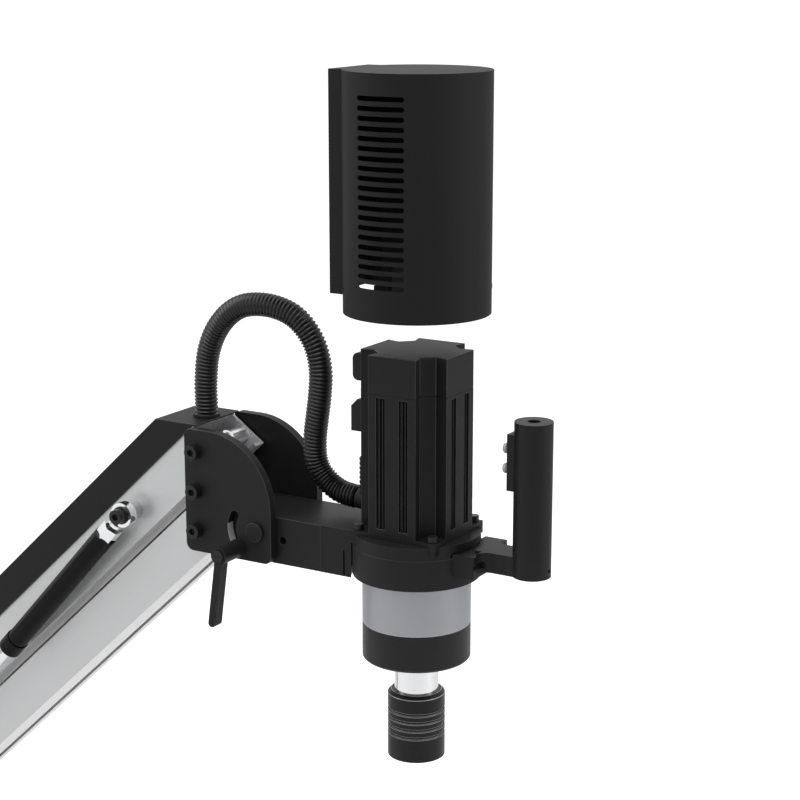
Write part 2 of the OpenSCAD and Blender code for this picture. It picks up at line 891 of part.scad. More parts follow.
module flange_corners() {
    for (x = [-1, 1]) for (y = [-1, 1]) translate([x * flange_screw, y * flange_screw, 0]) children();
}

module motor_flange() {
    color("#262627") head() difference() {
        block([-half_w, -half_w, flange_low], [half_w, half_w, flange_top]);
        disc(shaft_hole_r, flange_low - cut, flange_top + cut);
        flange_corners() disc(flange_screw_r + fit, flange_low - cut, flange_top + cut);
    }
}

module flange_screws() {
    screw_head_r = 4.2;
    screw_head_h = 5;
    color("#b9bbbd") head() {
        flange_corners() {
            disc(flange_screw_r, flange_low + play, flange_top);
            disc(screw_head_r, flange_top, flange_top + screw_head_h);
        }
        flange_screw_places() disc(flange_screw_r, ring_low, flange_low + play);
    }
}

// Square outline with its corners cut in under the faces
module motor_outline() {
    deep = corner_deep;
    polygon([for (q = [0:3]) for (p = [[corner_flat, -half_w], [corner_in, -deep], [deep, -corner_in], [half_w, -corner_flat]])
        [p[0] * cos(90 * q) - p[1] * sin(90 * q), p[0] * sin(90 * q) + p[1] * cos(90 * q)]]);
}

fin_w = 8;
fin_at = 10.5;
fin_low = 5.2;
fin_top = 2.5;

module motor_body() {
    color("#252526") head() difference() {
        translate([0, 0, flange_top]) linear_extrude(motor_h) motor_outline();
        disc(motor_bore_r, flange_top - cut, motor_top + cut);
        for (q = [0:3]) rotate(90 * q) for (s = [-1, 1])
            block([s * fin_at - fin_w / 2, -half_w - cut, flange_top + fin_low],
                  [s * fin_at + fin_w / 2, -half_w + fin_depth, motor_top - fin_top]);
    }
}

stator_wall = 5;
stator_foot = 22;
stator_head = 12;
stator_low = flange_top + stator_foot;
stator_top = motor_top - stator_head;

module motor_stator() {
    color("#9a6b3c") head() tube(motor_bore_r - stator_wall, motor_bore_r - fit, stator_low, stator_top);
}

rear_roof = 6;
rear_step = 6;
rear_seat_r = 9;

module motor_rear_cover() {
    color("#252526") head() difference() {
        translate([0, 0, motor_top]) linear_extrude(rear_h) motor_outline();
        disc(motor_bore_r, motor_top - cut, rear_top - rear_roof - rear_step);
        disc(rear_seat_r, motor_top, rear_top - rear_roof);
    }
}

// Rotor with the sun gear on its lower end
shaft_r = 7;
sun_r = 10.8;
gear_low = 14;
gear_high = 50;
gear_step = 2;
air_gap = 1;
shaft_short = 2;

module motor_rotor() {
    core_r = motor_bore_r - stator_wall - air_gap;
    color("#8d8f92") head() {
        disc(sun_r, gear_low + gear_step, gear_high - gear_step);
        disc(shaft_r, gear_high - gear_step, rear_top - rear_roof - shaft_short);
        disc(core_r, stator_low + gear_step, stator_top - gear_step);
    }
}

conn_y = 15;
conn_up_low = 119;
conn_up_top = 142;
conn_up_x = 12.2;
conn_low_low = 76.5;
conn_low_top = 103.5;
conn_low_x = 13.6;

module connector_upper() {
    corner = 5;
    color("#1d1d1e") head() translate([-half_w, 0, flange_top]) slab_y(-conn_y, conn_y) difference() {
        translate([-conn_up_x, conn_up_low]) square([conn_up_x, conn_up_top - conn_up_low]);
        corner_waste([-conn_up_x, conn_up_low], corner, [1, 1]);
        corner_waste([-conn_up_x, conn_up_top], corner, [1, -1]);
    }
}

// Lower connector with the lead that comes up to it out of the elbow
module connector_lower() {
    bevel = 6;
    lead_r = 2.2;
    lead_in = 1;
    color("#1d1d1e") head() {
        translate([-half_w, 0, flange_top]) slab_y(-conn_y, conn_y) polygon([
            [0, conn_low_low],
            [-conn_low_x, conn_low_low],
            [-conn_low_x, conn_low_top - bevel],
            [-conn_low_x + bevel, conn_low_top],
            [0, conn_low_top]
        ]);
        translate([elbow_x, elbow_from[1], 0]) disc(lead_r, elbow_top, flange_top + conn_low_low + lead_in);
    }
}

// Gearbox
gear_lid = 8;
lid_bore_r = 21;

module gearbox_housing() {
    color("#9fa1a4") head() difference() {
        disc(gear_r, 0, flange_low);
        disc(gear_r - gear_wall, -cut, flange_low - gear_lid);
        disc(lid_bore_r, 0, flange_low + cut);
    }
}

ring_in = 31;
planet_r = 9.6;
planet_at = 21;
planet_pin_r = 3;

module ring_gear() {
    color("#7d7f82") head() tube(ring_in, gear_r - gear_wall - fit, gear_low, gear_high);
}

module planet_places() {
    for (a = [0:120:240]) rotate(a) translate([planet_at, 0, 0]) children();
}

module planet_gears() {
    color("#8d8f92") head() planet_places() tube(planet_pin_r + fit, planet_r, gear_low + gear_step, gear_high - gear_step);
}

seat_r = 26;
seat_floor = 6;
neck_r = 15;
neck_gap = 1;
seat_gap = 1;
base_bevel = 1.5;

module gearbox_base() {
    color("#232324") head() difference() {
        union() {
            disc(gear_r, -base_h + base_bevel, 0);
            translate([0, 0, -base_h]) cylinder(r1 = gear_r - base_bevel, r2 = gear_r, h = base_bevel);
        }
        disc(seat_r + fit, -base_h + seat_floor, cut);
        disc(neck_r + neck_gap, -base_h - cut, 0);
    }
}

module spindle_bearing() {
    color("#c9c9cb") head() tube(neck_r + fit, seat_r, -base_h + seat_floor, -seat_gap);
}

// Spindle: planet carrier on top, bearing neck, bare spindle, then the chuck body with its tool bore
carrier_r = 30;
carrier_low = 4;
carrier_top = 12;
base_gap = 0.5;
spindle_low = -base_h - spindle_len;
chuck_low = spindle_low - chuck_len;
body_r = 21.2;
shoulder_down = 20;
shoulder = chuck_len - shoulder_down;
body_inset = 2;
ball_r = 3;
ball_rise = 14;
ball_z = chuck_low + ball_rise;
ball_angles = [30, 150, 270];

module spindle() {
    color("#d8dadc") head() {
        disc(carrier_r, carrier_low, carrier_top);
        disc(neck_r, -base_h, carrier_low);
        disc(spindle_r, spindle_low - body_inset, -base_h - base_gap);
        disc(neck_r, -base_h - base_gap, -base_h);
        planet_places() disc(planet_pin_r, carrier_top, gear_high);
    }
}

module chuck_body() {
    color("#6b6b6e") head() difference() {
        union() {
            disc(spindle_r, chuck_low + shoulder, spindle_low - body_inset);
            disc(body_r, chuck_low + chuck_travel, chuck_low + shoulder);
        }
        disc(tool_r, chuck_low, chuck_low + chuck_travel + tool_depth);
        for (a = ball_angles) rotate(a) translate([0, 0, ball_z]) rod_x(ball_r + fit, 0, body_r + cut);
    }
}

module chuck_balls() {
    color("#e0e2e4") head() for (a = ball_angles) rotate(a) translate([body_r - ball_r, 0, ball_z]) sphere(ball_r);
}

module chuck_spring() {
    spring_low = chuck_low + shoulder;
    spring_wire = 1.2;
    color("#b9bbbd") head() tube(spindle_r + play, spindle_r + play + spring_wire, spring_low, chuck_roof);
}

chuck_bevel = 3;
chuck_roof_t = 6;
chuck_roof = spindle_low - chuck_roof_t;
chuck_groove_first = 16.5;
chuck_groove_pitch = 6.8;
chuck_groove_h = 2.4;
chuck_groove_depth = 1.5;
chuck_grooves = 4;

module chuck_sleeve() {
    color("#1c1c1d") head() difference() {
        union() {
            disc(chuck_r, chuck_low, spindle_low - chuck_bevel);
            translate([0, 0, spindle_low - chuck_bevel])
                cylinder(r1 = chuck_r, r2 = chuck_r - chuck_bevel, h = chuck_bevel);
        }
        disc(body_r + 2 * fit, chuck_low - cut, chuck_roof);
        disc(spindle_r + 2 * fit, chuck_roof - cut, spindle_low + cut);
        for (i = [0:chuck_grooves - 1]) translate([0, 0, spindle_low - chuck_groove_first - i * chuck_groove_pitch])
            tube(chuck_r - chuck_groove_depth, chuck_r + cut, -chuck_groove_h / 2, chuck_groove_h / 2);
    }
}

// Handle: turning collar, link, grip and its two push buttons
block_x = 46.5;
block_end = 66.5;
block_front = -24;
block_back = 33;
block_low = 52;
block_clear = 0.5;
block_top = flange_low - block_clear;
link_low = 55.6;
link_top = 72.2;
link_front = -10.8;
link_fillet = 9;
link_rise_x = 60;
spigot_r = 8;
spigot_h = 10;
clamp_hole_at = [68.5, 62];
clamp_hole_r = 3;
clamp_screw_deep = 12;
link_hole_r = 1.5;
link_hole_drop = 2;

module handle_ring() {
    color("#2b2b2d") head() tube(gear_r + fit, collar_r, band_h + play, collar_top);
}

module link_outline() {
    translate([link_rise_x, link_front]) square([grip_x - link_rise_x, grip_r - link_front]);
    translate([grip_x, 0]) circle(grip_r);
    for (p = [[link_front, -1], [grip_r, 1]]) difference() {
        translate([block_end, p[1] > 0 ? p[0] : p[0] - link_fillet]) square(link_fillet);
        translate([block_end + link_fillet, p[0] + p[1] * link_fillet]) circle(link_fillet);
    }
}

module handle_arm() {
    color("#2b2b2d") head() difference() {
        union() {
            difference() {
                block([block_x, block_front, block_low], [block_end, block_back, block_top]);
                disc(collar_r + fit, block_low - cut, collar_top + play / 2);
                disc(block_r, collar_top, block_top + cut);
            }
            translate([0, 0, link_low]) linear_extrude(link_top - link_low) link_outline();
            translate([grip_x, 0, 0]) disc(spigot_r, link_top, link_top + spigot_h);
        }
        translate([clamp_hole_at[0], 0, clamp_hole_at[1]]) rod_y(clamp_hole_r, block_front, 0);
        translate([grip_x, 0, (link_low + link_top) / 2 - link_hole_drop]) rod_x(link_hole_r, grip_r - link_fillet, grip_r + cut);
    }
}

module handle_clamp_screw() {
    color("#161616") head() translate([clamp_hole_at[0], 0, clamp_hole_at[1]])
        rod_y(clamp_hole_r - fit, -clamp_screw_deep, 0);
}

plate_proud = 4;
button_plate_y = 8;
button_plate_low = 125;
button_plate_top = 171;
button_at = [157.6, 141.3];
button_pocket = 8;
button_gap = 0.1;
grip_hole_depth = 20;

module button_bores() {
    for (z = button_at) translate([grip_x - grip_r, 0, z])
        rod_x(button_r + button_gap, -plate_proud - cut, button_pocket);
}

module handle_grip() {
    grip_top = link_top + grip_len;
    color("#222223") head() difference() {
        translate([grip_x, 0, 0]) disc(grip_r, link_top, grip_top);
        translate([grip_x, 0, 0]) disc(spigot_r + fit, link_top - cut, link_top + spigot_h + play);
        translate([grip_x, 0, 0]) disc(grip_hole_r, grip_top - grip_hole_depth, grip_top + cut);
        button_bores();
    }
}

module button_plate() {
    color("#1a1a1b") head() difference() {
        block([grip_x - grip_r - plate_proud, -button_plate_y, button_plate_low],
              [grip_x, button_plate_y, button_plate_top]);
        translate([grip_x, 0, 0]) disc(grip_r, button_plate_low - cut, button_plate_top + cut);
        button_bores();
    }
}

module push_button(z) {
    color("#b9bbbd") head() translate([grip_x - grip_r, 0, z]) {
        translate([-plate_proud, 0, 0]) sphere(button_r);
        rod_x(button_r, -plate_proud, button_pocket - button_travel - play);
    }
}

module button_up() {
    push_button(button_at[0]);
}

module button_down() {
    push_button(button_at[1]);
}

// Motor cover with its pod for the cable
cover_roof = 3;
slat_x = 20.8;
slat_down = 19.2;
slat_top = cover_top - slat_down;
pod_notch_y = 11;
pod_notch_w = 24;

module slat() {
    end = slat_x - slat_h / 2;
    slab_y(-cover_r - cut, -cover_r / 2) {
        square([2 * end, slat_h], center = true);
        for (s = [-1, 1]) translate([s * end, 0]) circle(slat_h / 2);
    }
}

module motor_cover() {
    inner_r = cover_r - cover_wall;
    color("#1f1f20") head() difference() {
        union() {
            disc(cover_r, cover_low, cover_top);
            block([-pod_x, -pod_y, pod_low], [-cover_r / 2, pod_y, cover_top]);
        }
        disc(inner_r, cover_low - cut, cover_top - cover_roof);
        block([-pod_x + cover_wall, -pod_y + cover_wall, pod_low - cut],
              [-cover_r / 2, pod_y - cover_wall, cover_top - cover_roof]);
        block([-pod_x - cut, pod_notch_y - pod_notch_w / 2, cover_low - cut],
              [-cover_r / 2, pod_notch_y + pod_notch_w / 2, pod_low]);
        for (i = [0:slats - 1]) translate([0, 0, slat_top - i * slat_pitch]) slat();
        for (a = cover_screw_at) rotate(a) translate([0, 0, cover_screw_z])
            rod_x(cover_screw_r + fit, inner_r - cut, cover_r + cut);
    }
}

cover_screw_at = [45, 135];
cover_screw_r = 2;
cover_screw_rise = 18.7;
cover_screw_z = cover_low + cover_screw_rise;
clip_t = 1;
clip_turn = 7;
clip_rise = 6;
clip_h = 24;
clip_low = cover_low + clip_rise;
clip_top = clip_low + clip_h;

module cover_clip() {
    inner_r = cover_r - cover_wall;
    difference() {
        translate([0, 0, clip_low]) linear_extrude(clip_top - clip_low) intersection() {
            difference() {
                circle(inner_r);
                circle(inner_r - clip_t);
            }
            wedge(2 * inner_r, -clip_turn, clip_turn);
        }
        translate([0, 0, cover_screw_z]) rod_x(cover_screw_r + fit, inner_r - 2 * clip_t, inner_r + cut);
    }
}

// The cover's screws, each with the curved strip that it is tapped into
module cover_screws() {
    inner_r = cover_r - cover_wall;
    head_h = 1.8;
    color("#161616") head() for (a = cover_screw_at) rotate(a) {
        cover_clip();
        translate([0, 0, cover_screw_z]) {
            rod_x(cover_screw_r, inner_r - clip_t, cover_r);
            rod_x(2 * cover_screw_r, cover_r, cover_r + head_h);
        }
    }
}

// Conduit: a smooth line through the route, then a ribbed wall and a plain bore swept along it
function spline(p0, p1, p2, p3, s) =
    0.5 * (2 * p1 + (p2 - p0) * s + (2 * p0 - 5 * p1 + 4 * p2 - p3) * s * s + (3 * p1 - p0 - 3 * p2 + p3) * s * s * s);
function smooth(pts, parts) = [
    for (i = [0:len(pts) - 2]) for (k = [0:parts - 1])
        spline(i > 0 ? pts[i - 1] : 2 * pts[0] - pts[1], pts[i], pts[i + 1],
               i < len(pts) - 2 ? pts[i + 2] : 2 * pts[i + 1] - pts[i], k / parts),
    pts[len(pts) - 1]
];
function lengths(pts, i = 0, sum = 0, out = []) =
    i == len(pts) ? out : lengths(pts, i + 1, i < len(pts) - 1 ? sum + norm(pts[i + 1] - pts[i]) : sum, concat(out, [sum]));
function place(pts, dist, d, i = 0) =
    i >= len(pts) - 2 || dist[i + 1] >= d
        ? pts[i] + (pts[i + 1] - pts[i]) * (d - dist[i]) / (dist[i + 1] - dist[i])
        : place(pts, dist, d, i + 1);
function unit(v) = v / norm(v);
hose_line = smooth(route, 8);
hose_dist = lengths(hose_line);
hose_len = hose_dist[len(hose_dist) - 1];
ribs = floor(hose_len / rib_pitch);
hose_steps = 2 * ribs;
hose_step = hose_len / hose_steps;
hose_sides = 8;
hose_points = [for (i = [0:hose_steps]) place(hose_line, hose_dist, i * hose_step)];

// A ring of points round the line at step i, square to it, with one point towards the far side
function ring_at(i, r) =
    let (
        a = hose_points[max(i - 1, 0)],
        b = hose_points[min(i + 1, hose_steps)],
        ahead = i == 0 ? [0, 0, 1] : i == hose_steps ? unit([cos(hose_dip), 0, -sin(hose_dip)]) : unit(b - a),
        side = unit(cross(ahead, cross([0, 1, 0], ahead))),
        up = cross(ahead, side)
    )
    [for (k = [0:hose_sides - 1]) hose_points[i] + r * (side * cos(360 * k / hose_sides) + up * sin(360 * k / hose_sides))];

module conduit() {
    r_in = hose_r - rib_depth - hose_wall;
    out = [for (i = [0:hose_steps]) each ring_at(i, i % 2 == 1 ? hose_r : hose_r - rib_depth)];
    inner = [for (i = [0:2:hose_steps]) each ring_at(i, r_in)];
    n = hose_sides;
    m = ribs;
    o = len(out);
    outer_faces = [for (i = [0:hose_steps - 1]) for (k = [0:n - 1]) let (j = (k + 1) % n)
        each [[i * n + k, (i + 1) * n + k, i * n + j], [i * n + j, (i + 1) * n + k, (i + 1) * n + j]]];
    inner_faces = [for (i = [0:m - 1]) for (k = [0:n - 1]) let (j = (k + 1) % n)
        each [[o + i * n + k, o + i * n + j, o + (i + 1) * n + k], [o + i * n + j, o + (i + 1) * n + j, o + (i + 1) * n + k]]];
    low_faces = [for (k = [0:n - 1]) let (j = (k + 1) % n) each [[k, j, o + k], [j, o + j, o + k]]];
    e = hose_steps * n;
    f = o + m * n;
    high_faces = [for (k = [0:n - 1]) let (j = (k + 1) % n) each [[e + k, f + k, e + j], [e + j, f + k, f + j]]];
    color("#1c1c1d") translate([bracket_top[0], 0, bracket_top[1]])
        polyhedron(points = concat(out, inner), faces = concat(outer_faces, inner_faces, low_faces, high_faces));
}

module conduit_gland() {
    color("#161616") translate([bracket_top[0], 0, bracket_top[1]] + gland_at)
        tube(hose_r + play / 2, hose_r + gland_wall, 0, gland_h);
}

// Elbow at the motor: the conduit butts on its mouth, and its ribbed leg rises beside the motor
elbow_out = 11.2;
elbow_rise = 36;
elbow_from = route[route_end];
elbow_x = -half_w - elbow_out;
elbow_mouth = [elbow_from[0] + bracket_top[0] - head_x, conduit_end];
elbow_top = elbow_mouth[1] + elbow_rise;
elbow_lead = (elbow_x - elbow_mouth[0]) / cos(hose_dip);
elbow_corner = [elbow_x, elbow_mouth[1] - elbow_lead * sin(hose_dip)];

module conduit_elbow() {
    leg = elbow_top - elbow_corner[1];
    rib_h = (leg - elbow_r) / (2 * elbow_ribs);
    color("#1c1c1d") head() translate([0, elbow_from[1], 0]) {
        at(elbow_mouth) rotate([0, hose_dip, 0]) rod_x(elbow_r, 0, elbow_lead);
        translate([elbow_x, 0, elbow_corner[1]]) {
            sphere(elbow_r);
            disc(elbow_r - rib_depth, 0, leg);
            disc(elbow_r, 0, elbow_r);
            for (i = [0:elbow_ribs - 1]) disc(elbow_r, elbow_r + (2 * i + 1) * rib_h, elbow_r + (2 * i + 2) * rib_h);
        }
    }
}

column_sleeve();
clamp_screws();
swing_bush();
thrust_washer();
swivel_yoke();
swing_spindle();
yoke_bolts();
gas_lower_stud();
upper_beam();
upper_bushes();
beam_cover();
gas_upper_stud();
conduit_gland();
conduit();
lower_beam();
lower_bushes();
gas_cylinder();
gas_cylinder_cap();
gas_cylinder_eye();
gas_rod();
gas_rod_eye();
near_plate();
far_plate();
plate_bolts();
spacer_tube();
tilt_pin();
tilt_bar();
lever_stud();
lock_lever();
lever_screw();
head_holder();
seam_screws();
motor_flange();
flange_screws();
motor_body();
motor_stator();
motor_rear_cover();
motor_rotor();
connector_upper();
connector_lower();
conduit_elbow();
gearbox_housing();
ring_gear();
planet_gears();
gearbox_base();
spindle_bearing();
spindle();
chuck_body();
chuck_balls();
chuck_spring();
chuck_sleeve();
handle_ring();
handle_arm();
handle_clamp_screw();
handle_grip();
button_plate();
button_up();
button_down();
motor_cover();
cover_screws();
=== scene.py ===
# Arm tapping machine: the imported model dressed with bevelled, detailed pieces and procedural materials.
import json
import math
import bmesh
import bpy
from mathutils import Matrix, Vector


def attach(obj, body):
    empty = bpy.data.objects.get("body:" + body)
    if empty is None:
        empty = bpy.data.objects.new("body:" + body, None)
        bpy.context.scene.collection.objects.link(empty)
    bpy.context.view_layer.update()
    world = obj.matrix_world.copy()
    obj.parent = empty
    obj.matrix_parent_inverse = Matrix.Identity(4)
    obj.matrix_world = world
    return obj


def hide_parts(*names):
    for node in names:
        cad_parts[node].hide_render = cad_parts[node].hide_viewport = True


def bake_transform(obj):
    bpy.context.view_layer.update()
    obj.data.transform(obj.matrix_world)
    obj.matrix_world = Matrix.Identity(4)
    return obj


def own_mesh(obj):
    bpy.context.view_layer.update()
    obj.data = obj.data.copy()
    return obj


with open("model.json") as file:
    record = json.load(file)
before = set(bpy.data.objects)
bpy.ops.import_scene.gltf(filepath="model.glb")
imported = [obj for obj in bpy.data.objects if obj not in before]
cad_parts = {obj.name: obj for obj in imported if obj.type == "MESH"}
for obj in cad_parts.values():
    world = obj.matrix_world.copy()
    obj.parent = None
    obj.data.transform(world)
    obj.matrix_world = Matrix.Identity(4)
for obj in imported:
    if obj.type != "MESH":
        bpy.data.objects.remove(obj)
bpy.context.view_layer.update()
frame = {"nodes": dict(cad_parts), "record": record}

MM = 0.001
nodes = frame["nodes"]

# Camera at the photograph's angle
CAMERA_AT = (1.32744, -1.3242, 0.97593)
CAMERA_TILT = 76.7
CAMERA_TURN = 30.8
CAMERA_LENS = 87.75
SENSOR_WIDTH = 36
cam_data = bpy.data.cameras.new("camera")
cam_data.sensor_width = SENSOR_WIDTH
cam_data.lens = CAMERA_LENS
camera = bpy.data.objects.new("camera", cam_data)
camera.location = CAMERA_AT
camera.rotation_euler = (math.radians(CAMERA_TILT), 0, math.radians(CAMERA_TURN))
cam_data.clip_start = 0.05
cam_data.clip_end = 50
bpy.context.scene.collection.objects.link(camera)
bpy.context.scene.camera = camera

# Places that the pieces share with the CAD model, in millimetres
ARM_ANGLE = 42.7
HEAD = (554.061, 426.853)
BRACKET = (360.061, 553.353)
GAS_TOP = (285.106, 487.861)
GAS_NECK = 31
GAS_EYE_R = 11
BEAM_W = 58
BEAM_H = 41
BEAM_WALL = 3
BEAM_RISE = 1.4


# Materials
BROAD_SCALE = 14.0
BROAD_SHARE = 0.45
NOISE_LOW = 0.3
NOISE_HIGH = 0.7


def add_node(tree, kind, **values):
    node = tree.nodes.new(kind)
    for key, value in values.items():
        if key in node.inputs.keys():
            node.inputs[key].default_value = value
        else:
            setattr(node, key, value)
    return node


def material(name, colour, rough, metal=0.0, spec=0.5, vary=0.15, rough_vary=0.05, grain=900.0, bump=0.02,
             stretch=(1, 1, 1), turn=0.0, centre=(0, 0, 0), rings=False):
    """A surface whose colour, roughness and bump follow a grain, drawn out by stretch or turned in rings."""
    made = bpy.data.materials.new(name)
    made.use_nodes = True
    tree = made.node_tree
    link = tree.links.new
    shader = tree.nodes["Principled BSDF"]
    shader.inputs["Metallic"].default_value = metal
    shader.inputs["Specular IOR Level"].default_value = spec
    coord = add_node(tree, "ShaderNodeTexCoord")
    place = add_node(tree, "ShaderNodeMapping", vector_type="TEXTURE")
    place.inputs["Location"].default_value = centre
    place.inputs["Rotation"].default_value = (0, math.radians(turn), 0)
    link(coord.outputs["Object"], place.inputs["Vector"])
    source = place.outputs["Vector"]
    if rings:
        split = add_node(tree, "ShaderNodeSeparateXYZ")
        square = add_node(tree, "ShaderNodeVectorMath", operation="MULTIPLY")
        square.inputs[1].default_value = (1, 1, 0)
        link(source, square.inputs[0])
        length = add_node(tree, "ShaderNodeVectorMath", operation="LENGTH")
        link(square.outputs["Vector"], length.inputs[0])
        join = add_node(tree, "ShaderNodeCombineXYZ")
        link(source, split.inputs[0])
        link(length.outputs["Value"], join.inputs[0])
        link(split.outputs["Z"], join.inputs[2])
        source = join.outputs[0]
    scale = add_node(tree, "ShaderNodeVectorMath", operation="MULTIPLY")
    scale.inputs[1].default_value = stretch
    link(source, scale.inputs[0])
    fine = add_node(tree, "ShaderNodeTexNoise", Scale=grain, Detail=4.0, Roughness=0.6)
    link(scale.outputs["Vector"], fine.inputs["Vector"])
    broad = add_node(tree, "ShaderNodeTexNoise", Scale=BROAD_SCALE, Detail=3.0, Roughness=0.5)
    link(place.outputs["Vector"], broad.inputs["Vector"])
    both = add_node(tree, "ShaderNodeMix", data_type="FLOAT")
    both.inputs[0].default_value = BROAD_SHARE
    link(fine.outputs["Fac"], both.inputs[2])
    link(broad.outputs["Fac"], both.inputs[3])
    shade = add_node(tree, "ShaderNodeMapRange")
    shade.inputs["From Min"].default_value = NOISE_LOW
    shade.inputs["From Max"].default_value = NOISE_HIGH
    shade.inputs["To Min"].default_value = 1 - vary
    shade.inputs["To Max"].default_value = 1 + vary
    link(both.outputs[0], shade.inputs["Value"])
    tint = add_node(tree, "ShaderNodeVectorMath", operation="SCALE")
    tint.inputs[0].default_value = colour
    link(shade.outputs["Result"], tint.inputs["Scale"])
    link(tint.outputs["Vector"], shader.inputs["Base Color"])
    gloss = add_node(tree, "ShaderNodeMapRange")
    gloss.inputs["From Min"].default_value = NOISE_LOW
    gloss.inputs["From Max"].default_value = NOISE_HIGH
    gloss.inputs["To Min"].default_value = rough - rough_vary
    gloss.inputs["To Max"].default_value = rough + rough_vary
    link(both.outputs[0], gloss.inputs["Value"])
    link(gloss.outputs["Result"], shader.inputs["Roughness"])
    height = add_node(tree, "ShaderNodeBump", Strength=1.0, Distance=bump * MM)
    link(fine.outputs["Fac"], height.inputs["Height"])
    link(height.outputs["Normal"], shader.inputs["Normal"])
    return made


ALONG_ARM = dict(turn=-ARM_ANGLE, stretch=(0.02, 1, 1))
HEAD_AXIS = (HEAD[0] * MM, 0, 0)
paint = {
    "anodised": material("black_anodised", (0.012, 0.012, 0.0125), 0.44, spec=0.16),
    "plate": material("black_plate", (0.013, 0.013, 0.0135), 0.48, spec=0.15),
    "casting": material("black_casting", (0.014, 0.014, 0.0145), 0.55, spec=0.16, grain=500, bump=0.06),
    "motor": material("black_motor", (0.0105, 0.0105, 0.011), 0.46, spec=0.15, grain=700, bump=0.04),
    "sheet": material("black_sheet", (0.012, 0.012, 0.0122), 0.52, spec=0.14, grain=1200, bump=0.02),
    "cover": material("black_cover", (0.0095, 0.0095, 0.0098), 0.55, spec=0.13, grain=1200, bump=0.02),
    "plastic": material("black_plastic", (0.01, 0.01, 0.0105), 0.5, spec=0.18, grain=600, bump=0.05),
    "grip": material("grip_plastic", (0.0095, 0.0095, 0.01), 0.44, spec=0.18, grain=600, bump=0.03),
    "conduit": material("conduit_plastic", (0.009, 0.009, 0.0095), 0.3, spec=0.35, grain=300, bump=0.03),
    # Inside of the upper beam: a brighter copy of the beam metal against the shade there, painted light
    "hollow_painted_light": material("beam_inside_painted_light", (0.86, 0.86, 0.87), 0.3, metal=0.6, grain=600, vary=0.05),
    # Downward faces of the beams: a brighter, less metallic copy of the beam metal, painted light
    "beam_low_painted_light": material("beam_underside_painted_light", (0.8, 0.8, 0.81), 0.35, metal=0.35, grain=1100, vary=0.03),
    # End faces of the beams: a bright mirror copy of the beam metal, a painted highlight
    "beam_end_painted_highlight": material("beam_end_painted_highlight", (0.95, 0.95, 0.96), 0.12, metal=1.0, grain=900, vary=0.02,
                         bump=0.004),
    "dome": material("button_metal", (0.4, 0.4, 0.41), 0.3, metal=0.3, grain=900, vary=0.02, bump=0.004),
    # Lighter copies for rounded edges: painted highlights along the edges
    "black_edge_painted_highlight": material("black_edge_painted_highlight", (0.035, 0.035, 0.036), 0.36, spec=0.35, grain=900),
    "sheet_edge_painted_highlight": material("sheet_edge_painted_highlight", (0.11, 0.11, 0.112), 0.4, spec=0.4, grain=900),
    "beam_edge_painted_highlight": material("beam_edge_painted_highlight", (0.85, 0.85, 0.86), 0.25, metal=0.5, grain=900, vary=0.03),
    "turned_black": material("turned_black", (0.0115, 0.0115, 0.012), 0.38, spec=0.22, rings=True,
                             centre=HEAD_AXIS, grain=1500, bump=0.02),
    "chuck": material("chuck_black", (0.0095, 0.0095, 0.01), 0.34, spec=0.2, rings=True, centre=HEAD_AXIS,
                      grain=1500, bump=0.02),
    # Painted highlight on the chuck's rounded edges and grooves
    "chuck_edge_painted_highlight": material("chuck_edge_painted_highlight", (0.3, 0.3, 0.31), 0.3, metal=0.4, grain=900),
    "turned_grey": material("turned_grey", (0.33, 0.34, 0.36), 0.38, metal=0.75, rings=True,
                            centre=HEAD_AXIS, grain=1800, bump=0.02, vary=0.05),
    "screw": material("black_screw", (0.009, 0.009, 0.0095), 0.34, spec=0.3, grain=900, bump=0.01),
    "beam": material("beam_aluminium", (0.56, 0.565, 0.57), 0.42, metal=0.8, grain=1100, bump=0.01,
                     vary=0.03, **ALONG_ARM),
    "steel": material("bright_steel", (0.6, 0.6, 0.61), 0.24, metal=1.0, grain=900, vary=0.06, bump=0.006),
    "chrome": material("chrome", (0.83, 0.84, 0.85), 0.07, metal=1.0, grain=300, vary=0.02, rough_vary=0.02,
                       bump=0.002),
    "bronze": material("bearing_bronze", (0.48, 0.33, 0.15), 0.35, metal=1.0, grain=700),
    "copper": material("copper_winding", (0.5, 0.22, 0.1), 0.35, metal=1.0, grain=250, stretch=(1, 1, 8),
                       bump=0.3),
    "gas": material("gas_tube_paint", (0.004, 0.004, 0.0043), 0.17, spec=0.1, grain=900, bump=0.001),
    "satin": material("satin_steel", (0.42, 0.42, 0.43), 0.42, metal=1.0, grain=900, vary=0.06, bump=0.006),
}


# Piece makers
SHARP_ANGLE = 32
ROUND_SHARP = 60
JOIN_DISTANCE = 0.00001
FLAT_ANGLE = 0.4
BEVEL_ANGLE = 30
ROUND_FIT = 0.03


def add_object(name, mesh, body, finish, replaces=()):
    piece = bpy.data.objects.new(name, mesh)
    bpy.context.scene.collection.objects.link(piece)
    piece.data.materials.clear()
    piece.data.materials.append(paint[finish])
    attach(piece, body)
    if replaces:
        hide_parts(*replaces)
    return piece


def smooth_by_angle(mesh, angle=SHARP_ANGLE):
    for face in mesh.polygons:
        face.use_smooth = True
    mesh.set_sharp_from_angle(angle=math.radians(angle))


def tidied(mesh):
    """The node's mesh as clean flat faces: shared corners joined and its flat triangles merged."""
    work = bmesh.new()
    work.from_mesh(mesh)
    bmesh.ops.remove_doubles(work, verts=work.verts, dist=JOIN_DISTANCE)
    bmesh.ops.dissolve_limit(work, angle_limit=math.radians(FLAT_ANGLE), use_dissolve_boundaries=False,
                             verts=work.verts, edges=work.edges)
    work.to_mesh(mesh)
    work.free()
    return mesh


